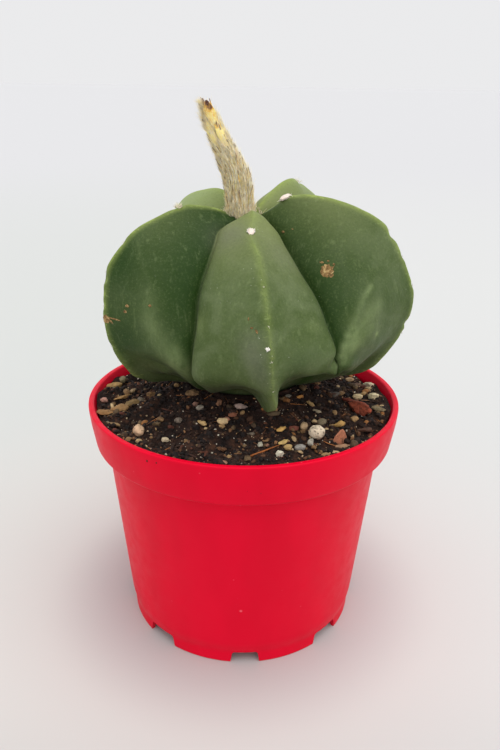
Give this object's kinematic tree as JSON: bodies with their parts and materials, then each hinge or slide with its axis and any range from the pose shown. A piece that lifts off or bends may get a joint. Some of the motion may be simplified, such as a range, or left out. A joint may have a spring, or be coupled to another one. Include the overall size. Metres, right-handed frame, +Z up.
{
  "type": "potted bishop's cap cactus",
  "caption": "Ribbed bishop's cap cactus with a withered flower, growing in gritty soil in a small tapered plastic nursery pot.",
  "frame": {"origin": "middle of the pot's foot, on the surface that it stands on", "axes": "+Z up along the pot's axis; the rib with the lowest keel points to -Y and the broadest rib towards +X"},
  "size_m": [0.0857, 0.085, 0.143],
  "materials": {
    "pot_plastic": "satin",
    "gritty_soil": "matte",
    "cactus_skin": "satin",
    "dried_flower": "matte"
  },
  "bodies": {
    "root": {"pot": "pot_plastic", "soil": "gritty_soil", "cactus_body": "cactus_skin", "withered_flower": "dried_flower"}
  },
  "joints": []
}
